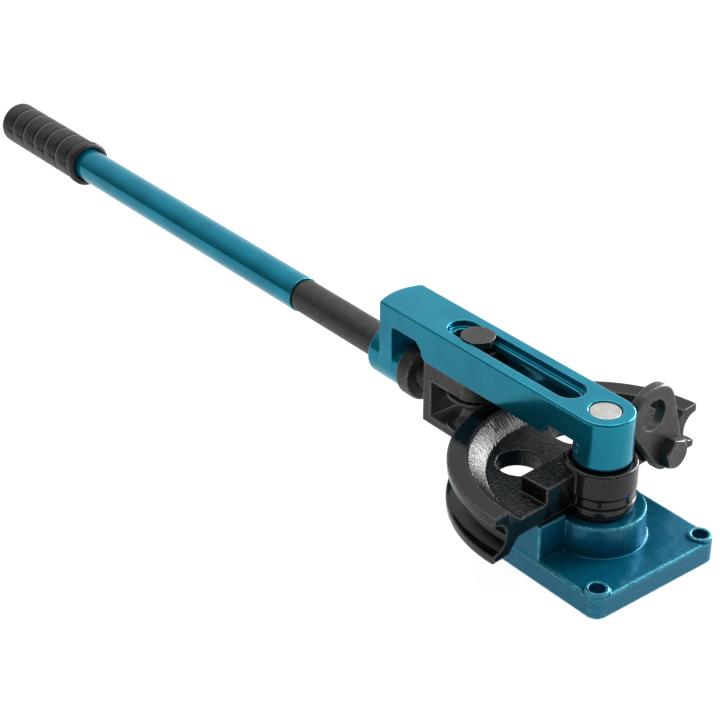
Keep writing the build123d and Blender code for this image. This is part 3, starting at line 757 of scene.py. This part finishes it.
BRACKET_GRID = 0.6 * MM
BRACKET_EDGE = 1.1 * MM
bracket = casting("roller_bracket", BRACKET_GRID, 3)
mark_edges(bracket.data, BRACKET_EDGE)
bracket.data.materials.append(dark_steel("phosphated_milled", 1.4 * MM, 0.04 * MM, gloss=(0.36, 0.52)))
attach(bracket, "carriage")
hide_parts("roller_bracket")

# ---------------------------------------------------------------------------------------------
# Pressure roller. A turned steel roller grooved to the tube, with a bronze bush on its bolt and a
# thin washer above and below. Tube scale has polished it: its finish is glossier than the bracket's.

roller_axis = Vector(joints["roller_spin"]["pos_m"])
roller_low, roller_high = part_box("pressure_roller")
flange = (roller_high.y - roller_low.y) / 2
half_height = (roller_high.z - roller_low.z) / 2
GROOVE = 13.5 * MM
GROOVE_STEPS = 16
BEND_RADIUS = 120 * MM
ROLLER_BORE = 11 * MM
SIDE_WASHER = 1.2 * MM
SIDE_WASHER_RADIUS = 15 * MM
groove_out = -roller_axis.x - BEND_RADIUS
lip = math.sqrt(GROOVE**2 - (groove_out - flange) ** 2)
roller_outline = [
    (ROLLER_BORE, -half_height, 0.6 * MM),
    (flange, -half_height, 0.7 * MM),
    (flange, -lip, 0.5 * MM),
]
lip_angle = math.asin(lip / GROOVE)
for k in range(1, GROOVE_STEPS):
    a = -lip_angle + 2 * lip_angle * k / GROOVE_STEPS
    roller_outline.append((groove_out - GROOVE * math.cos(a), GROOVE * math.sin(a), 0))
roller_outline += [
    (flange, lip, 0.5 * MM),
    (flange, half_height, 0.7 * MM),
    (ROLLER_BORE, half_height, 0.6 * MM),
]
roller = turned("grooved_roller", roller_outline, Matrix.Translation(roller_axis), closed=True)
roller.data.materials.append(dark_steel("rolled_steel", 0.8 * MM, 0.02 * MM, gloss=(0.2, 0.34)))
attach(roller, "roller")
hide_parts("pressure_roller")


def round_bolt(z):
    """A place on the roller's axis at that height."""
    return Matrix.Translation((roller_axis.x, roller_axis.y, z))


bush_low, bush_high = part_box("roller_bush")
washer("roller_bronze_bush", "roller_bush", bush_high.z - bush_low.z, ROLLER_BORE,
       BOLT_RADIUS + BORE_PLAY, round_bolt(bush_low.z), "roller", bronze)
pair_low, pair_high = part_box("roller_side_washers")
plain_steel = bpy.data.materials["ground_steel"]
washer("side_washer_below", "roller_side_washers", SIDE_WASHER, SIDE_WASHER_RADIUS,
       BOLT_RADIUS + BORE_PLAY, round_bolt(pair_low.z), "carriage",
       plain_steel, 0.2 * MM)
washer("side_washer_above", None, SIDE_WASHER, SIDE_WASHER_RADIUS, BOLT_RADIUS + BORE_PLAY,
       round_bolt(pair_high.z - SIDE_WASHER), "carriage", plain_steel, 0.2 * MM)

# ---------------------------------------------------------------------------------------------
# Roller bolt, nut and washer. An M16 bolt drops through the arm's slot, where the pocket's sides
# keep its thin head from turning, and holds roller and bracket with a nut below.

ROLLER_BOLT_HEAD = 6.6 * MM
ROLLER_NUT_SPIN = math.radians(8)
bolt_low, bolt_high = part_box("roller_bolt")
head_at = (roller_axis.x, roller_axis.y, bolt_high.z - ROLLER_BOLT_HEAD)
roller_bolt = hex_piece("roller_bolt_m16", standing(head_at, (0, 0, 1), (1, 0, 0)),
                        bolt_high.y - bolt_low.y, ROLLER_BOLT_HEAD, head_at[2] - bolt_low.z, land=0.55)
roller_bolt.data.materials.append(bolt_black)
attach(roller_bolt, "carriage")
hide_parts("roller_bolt")

nut_box_low, nut_box_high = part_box("roller_nut")
nut_at = (roller_axis.x, roller_axis.y, nut_box_high.z)
roller_nut = hex_piece("roller_nut_m16", standing(nut_at, (0, 0, -1), (1, 0, 0)), HEX_FLATS,
                       nut_box_high.z - nut_box_low.z, hole=BOLT_RADIUS + 0.02 * MM,
                       spin=ROLLER_NUT_SPIN)
roller_nut.data.materials.append(bolt_black)
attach(roller_nut, "carriage")
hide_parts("roller_nut")
plate_low, plate_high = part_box("roller_nut_washer")
washer("roller_nut_plate", "roller_nut_washer", plate_high.z - plate_low.z,
       (plate_high.y - plate_low.y) / 2, BOLT_RADIUS + BORE_PLAY, round_bolt(plate_low.z),
       "carriage", bolt_black)

# ---------------------------------------------------------------------------------------------
# Feed screw. A thick phosphated bar: a turned neck held in the bracket by a circlip, a fine thread
# through the feed nut, and a plain part that runs back into the handle tube.

coupling = frame["record"]["behaviour"]["couplings"][0]
PITCH = 2 * math.pi / abs(coupling["ratio"])
THREAD_DEPTH = 1.0 * MM
ROWS_PER_TURN = 10
SPIGOT_LENGTH = 62 * MM
SPIGOT_RADIUS = 13.6 * MM
NECK_RADIUS = 7.5 * MM
CLIP_GROOVE = 6.7 * MM
CLIP_WIDTH = 1.3 * MM
screw_low, screw_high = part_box("feed_screw")
length = screw_high.x - screw_low.x
neck_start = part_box("roller_bracket")[0].x - 1.3 * MM - screw_low.x
thread_start = nut_low.x - 1.5 * MM - screw_low.x
clip_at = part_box("neck_circlip")[0].x - screw_low.x
screw_outline = [
    (0, 0, 0),
    (SPIGOT_RADIUS, 0, 1.0 * MM),
    (SPIGOT_RADIUS, SPIGOT_LENGTH, 0),
    (SCREW_RADIUS, SPIGOT_LENGTH, 1.3 * MM),
    (SCREW_RADIUS, thread_start - 1 * MM, 0),
]
# Rows close enough together for the thread to be cut in them.
row = 0
while thread_start + row * PITCH / ROWS_PER_TURN < neck_start - 1.5 * MM:
    screw_outline.append((SCREW_RADIUS, thread_start + row * PITCH / ROWS_PER_TURN, 0))
    row += 1
screw_outline += [
    (SCREW_RADIUS - 1.2 * MM, neck_start, 0),
    (NECK_RADIUS, neck_start, 0),
    (NECK_RADIUS, clip_at, 0),
    (CLIP_GROOVE, clip_at, 0),
    (CLIP_GROOVE, clip_at + CLIP_WIDTH, 0),
    (NECK_RADIUS, clip_at + CLIP_WIDTH, 0),
    (NECK_RADIUS, length, 0.8 * MM),
    (0, length, 0),
]


def threaded(r, h, angle):
    """Cuts a rounded thread into the bar between the feed nut's two ends."""
    turn_share = (h / PITCH - angle / (2 * math.pi)) % 1.0
    groove = np.clip(1.15 - 2.3 * np.abs(turn_share - 0.5), 0, 1)
    run_out = np.clip((h - thread_start) / (2 * MM), 0, 1)
    run_out = run_out * np.clip((neck_start - 1.4 * MM - h) / (1 * MM), 0, 1)
    cut = (r > SCREW_RADIUS - 0.1 * MM) & (h >= thread_start)
    return np.where(cut, r - THREAD_DEPTH * (1 - groove) * run_out, r), h


screw = turned("feed_screw_bar", screw_outline, on_handle(screw_low.x), warp=threaded)
screw.data.materials.append(dark_steel("phosphated_bar", 0.9 * MM, 0.045 * MM, gloss=(0.40, 0.54)))
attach(screw, "handle")
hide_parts("feed_screw")

# The circlip keeps the shape it has and only takes a finish.
circlip = frame["nodes"]["neck_circlip"]
circlip.data.materials.clear()
circlip.data.materials.append(bolt_black)
thrust_low, thrust_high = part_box("screw_thrust_washer")
washer("screw_push_washer", "screw_thrust_washer", thrust_high.x - thrust_low.x,
       (thrust_high.y - thrust_low.y) / 2, NECK_RADIUS + 0.1 * MM, on_handle(thrust_low.x),
       "carriage", plain_steel, 0.2 * MM)

# ---------------------------------------------------------------------------------------------
# Handle tube. Welded steel tube, 33 mm across, pushed on the screw's spigot and enamelled teal
# like the castings, but on a smooth drawn surface. A plug closes its far end inside the grip.

TUBE_BORE = 13.7 * MM
TUBE_EDGE_HIDDEN = 0.5 * MM
TUBE_EDGE = 0.9 * MM
tube_low, tube_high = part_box("handle_tube")
tube_outer = (tube_high.y - tube_low.y) / 2
tube_length = tube_high.x - tube_low.x
tube_outline = [
    (TUBE_BORE, 0, TUBE_EDGE_HIDDEN),
    (tube_outer, 0, TUBE_EDGE_HIDDEN),
    (tube_outer, tube_length, TUBE_EDGE),
    (TUBE_BORE, tube_length, TUBE_EDGE),
]
tube = turned("enamelled_tube", tube_outline, on_handle(tube_low.x), closed=True, segments=160)
mark(tube.data, "corner", np.zeros(len(tube.data.vertices)))
tube.data.materials.append(teal_enamel(
    "teal_enamel_tube", sand_size=16 * MM, sand_depth=0.01 * MM, wear_and_highlight=0.5,
))
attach(tube, "handle")
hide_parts("handle_tube")

# ---------------------------------------------------------------------------------------------
# Rubber grip and plug. A black moulded sleeve pushed over the tube's end: a lipped mouth, six
# finger rings that step up towards the closed end and sag into hollows on the side, and a domed
# end. The mould's parting line runs along the side, where the rings are slightly out of step.

RUBBER = (0.022, 0.0218, 0.0215, 1)
RUBBER_DUSTY = (0.040, 0.0395, 0.039, 1)
RUBBER_SHADED = (0.006, 0.006, 0.006, 1)
RUBBER_RIDGE_HIGHLIGHT = (0.30, 0.298, 0.295, 1)
RING_COUNT = 6
RING_PITCH = 21.5 * MM
RING_ROWS = 22
FIRST_RING = 4.5 * MM
RIDGE = 21.6 * MM
VALLEY = 20.7 * MM
LIP = 22.8 * MM
END_CROWN = 47.6 * MM
PARTING = math.radians(179)
PARTING_WIDTH = math.radians(3)
MOULD_SHIFT = 2.0 * MM
CRESCENT_DEPTH = 0.9 * MM
CRESCENT_HALF_WIDTH = math.radians(42)


def rubber(name):
    """Moulded black rubber: satin, a little dusty, with the mould's fine texture, painted shade in the ring
    valleys and a painted highlight along each ridge.
    """
    mix = Finish(name)
    dust = mix.between(mix.grain(5 * MM, 5), 0.42, 0.7, 0.0, 0.5)
    colour = mix.tint(dust, RUBBER, RUBBER_DUSTY)
    # Painted shade in each ring's valley, then a painted highlight along each ridge.
    colour = mix.tint(mix.maths("MULTIPLY", mix.marked("valley"), 0.8), colour, RUBBER_SHADED)
    colour = mix.tint(mix.maths("MULTIPLY", mix.marked("ridge"), 0.9), colour, RUBBER_RIDGE_HIGHLIGHT)
    relief = mix.raised(mix.grain(0.8 * MM, 3), 0.03 * MM)
    rough = mix.drift(3 * MM, 0.34, 0.48)
    mix.feed(Base_Color=colour, Normal=relief, Roughness=rough)
    mix.shader.inputs["IOR"].default_value = 1.52
    return mix.material


grip_low, grip_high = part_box("handle_grip")
grip_length = grip_high.x - grip_low.x
plug_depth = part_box("tube_end_plug")[0].x - grip_low.x
grip_outline = [(0, 0, 0)]
for r in (6 * MM, 11 * MM, 15 * MM, 18 * MM):
    grip_outline.append((r, END_CROWN - math.sqrt(END_CROWN**2 - r**2), 0))
grip_outline.append((VALLEY - 0.6 * MM, FIRST_RING - 0.4 * MM, 0.5 * MM))


def fall_off(along):
    """How far a ring has dropped from its ridge, over its length from 0 to 1."""
    dip = min(max((along - 0.74) / 0.24, 0), 1)
    return 0.15 * MM * along + 0.72 * MM * dip * dip * (3 - 2 * dip)


for k in range(RING_COUNT):
    start = FIRST_RING + k * RING_PITCH
    grip_outline.append((VALLEY, start, 0.15 * MM))
    grip_outline.append((RIDGE, start + 0.7 * MM, 0.35 * MM))
    for step in range(2, RING_ROWS):
        along = step / RING_ROWS
        grip_outline.append((RIDGE - fall_off(along), start + along * RING_PITCH, 0))
mouth_ring = FIRST_RING + RING_COUNT * RING_PITCH
grip_outline += [
    (VALLEY, mouth_ring, 0.15 * MM),
    (RIDGE + 0.3 * MM, mouth_ring + 0.8 * MM, 0.35 * MM),
    (RIDGE + 0.4 * MM, mouth_ring + 2.2 * MM, 0.5 * MM),
    (LIP, mouth_ring + 4.2 * MM, 0.8 * MM),
    (LIP, grip_length - 1.5 * MM, 1.2 * MM),
    (LIP - 2 * MM, grip_length, 1.0 * MM),
    (18.2 * MM, grip_length, 0.6 * MM),
    (tube_outer, grip_length - 5 * MM, 0),
    (tube_outer, plug_depth, 0),
    (0, plug_depth, 0),
]


def moulded(r, h, angle):
    """Sinks a crescent behind each ring on both sides, down to the mould's parting line, and puts
    the rings' lower halves a little out of step."""
    outside = (r > tube_outer + 1 * MM) & (h > FIRST_RING) & (h < mouth_ring + 3 * MM)
    along = ((h - FIRST_RING) / RING_PITCH) % 1.0
    for centre, way in ((PARTING, -1), (PARTING - math.pi, 1)):
        off = (angle - centre + math.pi) % (2 * math.pi) - math.pi
        crescent = 1 - np.hypot(off / CRESCENT_HALF_WIDTH, (along - 1.0) / 0.66)
        sunk = np.clip(crescent * 3, 0, 1) * np.clip(way * off / PARTING_WIDTH, 0, 1)
        sunk = sunk * np.clip((1 - along) / 0.12, 0, 1) * (h < mouth_ring)
        r = np.where(outside, r - CRESCENT_DEPTH * sunk * sunk * (3 - 2 * sunk), r)
    lower = np.clip((angle - PARTING) / PARTING_WIDTH, 0, 1)
    lower = lower * np.clip((PARTING + math.pi - angle) / PARTING_WIDTH, 0, 1)
    shift = lower * np.clip((h - FIRST_RING) / (3 * MM), 0, 1)
    shift = shift * np.clip((mouth_ring + 3 * MM - h) / (4 * MM), 0, 1)
    return r, np.where(outside, h + MOULD_SHIFT * shift, h)


grip = turned("moulded_grip", grip_outline, on_handle(grip_low.x), segments=180, warp=moulded)
skin = points_of(grip.data)
ring_at = ((skin[:, 0] - grip_low.x - FIRST_RING) / RING_PITCH) % 1.0
on_rings = (skin[:, 0] < grip_low.x + mouth_ring + 1 * MM) & (skin[:, 0] > grip_low.x + FIRST_RING)
off_ridge = np.abs(ring_at * RING_PITCH - 0.9 * MM)
# Where painted shade falls in each valley and a painted highlight runs along each ridge.
mark(grip.data, "valley", on_rings * np.clip((ring_at - 0.76) / 0.2, 0, 1))
mark(grip.data, "ridge", on_rings * np.clip(1.6 - off_ridge / (0.8 * MM), 0, 1))
grip.data.materials.append(rubber("moulded_rubber"))
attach(grip, "handle")
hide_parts("handle_grip")

PLUG_FLANGE = 1.5 * MM
plug_low, plug_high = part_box("tube_end_plug")
plug_outline = [
    (0, 0, 0),
    (tube_outer, 0, 0.4 * MM),
    (tube_outer, PLUG_FLANGE, 0.2 * MM),
    (TUBE_BORE, PLUG_FLANGE, 0),
    (TUBE_BORE - 0.3 * MM, plug_high.x - plug_low.x, 0.8 * MM),
    (0, plug_high.x - plug_low.x, 0),
]
plug = turned("tube_plug", plug_outline, on_handle(plug_low.x), segments=96)
plug.data.materials.append(bpy.data.materials["moulded_rubber"])
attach(plug, "handle")
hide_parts("tube_end_plug")

# ---------------------------------------------------------------------------------------------
# Studio. A pale floor that glows softly, in a white tent that is brighter on one side. A broad lamp
# hangs overhead, two strips behind the object draw its highlights, and the camera looks down over
# the near corner of the base.

FLOOR_HALF = 14
floor_form = bmesh.new()
bmesh.ops.create_grid(floor_form, x_segments=2, y_segments=2, size=FLOOR_HALF)
floor_mesh = bpy.data.meshes.new("floor")
floor_form.to_mesh(floor_mesh)
floor_form.free()
floor = bpy.data.objects.new("floor", floor_mesh)
floor.location.z = cad_low.z - 0.2 * MM
scene.collection.objects.link(floor)
floor_paint = Finish("pale_floor")
floor_paint.shader.inputs["Base Color"].default_value = (0.14, 0.14, 0.14, 1)
floor_paint.shader.inputs["Roughness"].default_value = 0.9
floor_paint.shader.inputs["Specular IOR Level"].default_value = 0.0
floor_paint.shader.inputs["Emission Color"].default_value = (1, 1, 1, 1)
floor_paint.shader.inputs["Emission Strength"].default_value = 0.90
floor_mesh.materials.append(floor_paint.material)

BRIGHT_SIDE = Vector((-0.60, 0.56, 0.57))
DIM_GLOW = 0.09
BRIGHT_GLOW = 0.95
tent = bpy.data.worlds.new("pale_tent")
tent.use_nodes = True
sky_nodes, sky_links = tent.node_tree.nodes, tent.node_tree.links
toward = sky_nodes.new("ShaderNodeTexCoord")
facing = sky_nodes.new("ShaderNodeVectorMath")
facing.operation = "DOT_PRODUCT"
facing.inputs[1].default_value = BRIGHT_SIDE.normalized()
glow = sky_nodes.new("ShaderNodeMapRange")
glow.interpolation_type = "SMOOTHSTEP"
for socket, number in zip(glow.inputs[1:5], (0.0, 0.9, DIM_GLOW, BRIGHT_GLOW)):
    socket.default_value = number
sky_nodes["Background"].inputs["Color"].default_value = (1, 1, 1, 1)
sky_links.new(toward.outputs["Generated"], facing.inputs[0])
sky_links.new(facing.outputs["Value"], glow.inputs["Value"])
seen = sky_nodes.new("ShaderNodeLightPath")
strength = sky_nodes.new("ShaderNodeMath")
strength.operation = "MAXIMUM"
sky_links.new(glow.outputs["Result"], strength.inputs[0])
sky_links.new(seen.outputs["Is Camera Ray"], strength.inputs[1])
sky_links.new(strength.outputs["Value"], sky_nodes["Background"].inputs["Strength"])
scene.world = tent


def softbox(name, at, aim, width, height, power):
    """A rectangular lamp that faces a point."""
    lamp = bpy.data.lights.new(name, "AREA")
    lamp.shape = "RECTANGLE"
    lamp.size, lamp.size_y = width, height
    lamp.energy = power
    holder = bpy.data.objects.new(name, lamp)
    holder.location = at
    holder.rotation_mode = "QUATERNION"
    holder.rotation_quaternion = (Vector(aim) - Vector(at)).to_track_quat("-Z", "Y")
    holder.visible_camera = False
    scene.collection.objects.link(holder)


softbox("overhead_softbox", (-0.3, 0.15, 1.7), (-0.2, 0, 0), 2.0, 1.4, 14)
softbox("side_strip", (0.40, 1.25, 0.92), (-0.06, 0, 0.06), 0.6, 0.5, 12)
softbox("low_strip", (-0.05, 1.5, 0.36), (-0.08, -0.05, 0.08), 1.3, 0.36, 22)

CAMERA_AT = Vector((0.8977, -0.9641, 0.9330))
AZIMUTH, ELEVATION = math.radians(51.178), math.radians(30.145)
looking = Vector((
    -math.sin(AZIMUTH) * math.cos(ELEVATION),
    math.cos(AZIMUTH) * math.cos(ELEVATION),
    -math.sin(ELEVATION),
))
lens = bpy.data.cameras.new("camera")
lens.lens = 99.85
lens.sensor_width = 36
lens.clip_start, lens.clip_end = 0.05, 60
camera = bpy.data.objects.new("camera", lens)
camera.location = CAMERA_AT
camera.rotation_mode = "QUATERNION"
camera.rotation_quaternion = looking.to_track_quat("-Z", "Y")
scene.collection.objects.link(camera)
scene.camera = camera
scene.view_settings.view_transform = "Standard"
scene.view_settings.look = "None"
scene.view_settings.exposure = 0.10
scene.view_settings.gamma = 0.86
